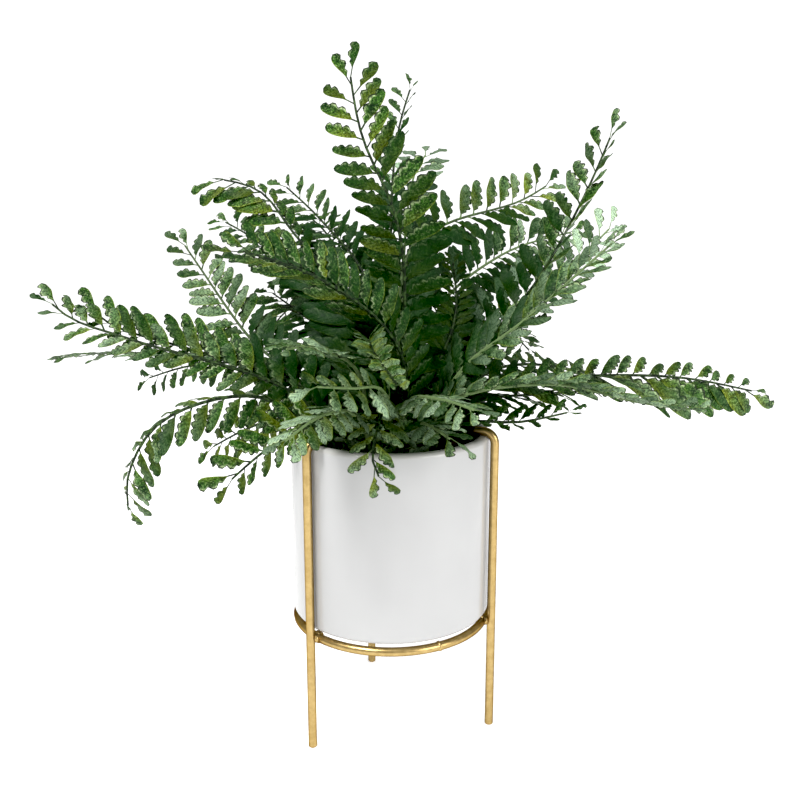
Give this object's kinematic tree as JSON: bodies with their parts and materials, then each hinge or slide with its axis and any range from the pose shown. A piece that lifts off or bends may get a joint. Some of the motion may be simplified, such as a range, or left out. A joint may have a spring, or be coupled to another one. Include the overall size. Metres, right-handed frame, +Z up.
{
  "type": "potted fern",
  "caption": "Bushy fern with long arching fronds of scalloped leaflets, in a plain cylindrical pot held by a gold wire ring stand on legs.",
  "frame": {"origin": "on the pot's axis, level with the underside of the three feet", "axes": "+Z up, -Y towards the side that faces the viewer, +X to the viewer's right, along the fern's widest spread"},
  "size_m": [0.5136, 0.3644, 0.4536],
  "materials": {
    "glazed_pot": "smooth white glaze on stoneware",
    "gold_rod": "satin gold lacquer on steel rod",
    "potting_soil": "dark crumbly potting mix",
    "fern_leaf": "waxy green leaflets on a dark stalk"
  },
  "bodies": {
    "root": {"pot": "glazed_pot", "potting_soil": "potting_soil", "stand_ring": "gold_rod", "leg_left": "gold_rod", "leg_right": "gold_rod", "leg_back": "gold_rod", "tall_front": "fern_leaf", "tall_back": "fern_leaf", "back_right_up": "fern_leaf", "right_upper": "fern_leaf", "right_tall": "fern_leaf", "right_arch": "fern_leaf", "right_arch_back": "fern_leaf", "right_mid": "fern_leaf", "right_low_long": "fern_leaf", "front_right_low": "fern_leaf", "right_under": "fern_leaf", "right_small_low": "fern_leaf", "left_long": "fern_leaf", "left_low_edge": "fern_leaf", "left_low_small": "fern_leaf", "left_droop": "fern_leaf", "left_lower_2": "fern_leaf", "left_lower_3": "fern_leaf", "left_up_1": "fern_leaf", "left_up_2": "fern_leaf", "left_up_3": "fern_leaf", "left_mid_front": "fern_leaf", "left_back_small": "fern_leaf", "left_mid_dark": "fern_leaf", "front_left": "fern_leaf", "front_low_left": "fern_leaf", "front_low_right": "fern_leaf", "front_dangle": "fern_leaf", "front_right_rim": "fern_leaf", "front_center": "fern_leaf", "front_left_up": "fern_leaf", "center_right_up": "fern_leaf", "center_right_back": "fern_leaf", "back_up_left": "fern_leaf", "back_mid": "fern_leaf", "back_left_low": "fern_leaf", "back_right_low": "fern_leaf", "back_droop": "fern_leaf", "right_back_low": "fern_leaf", "left_back_low": "fern_leaf"}
  },
  "joints": []
}
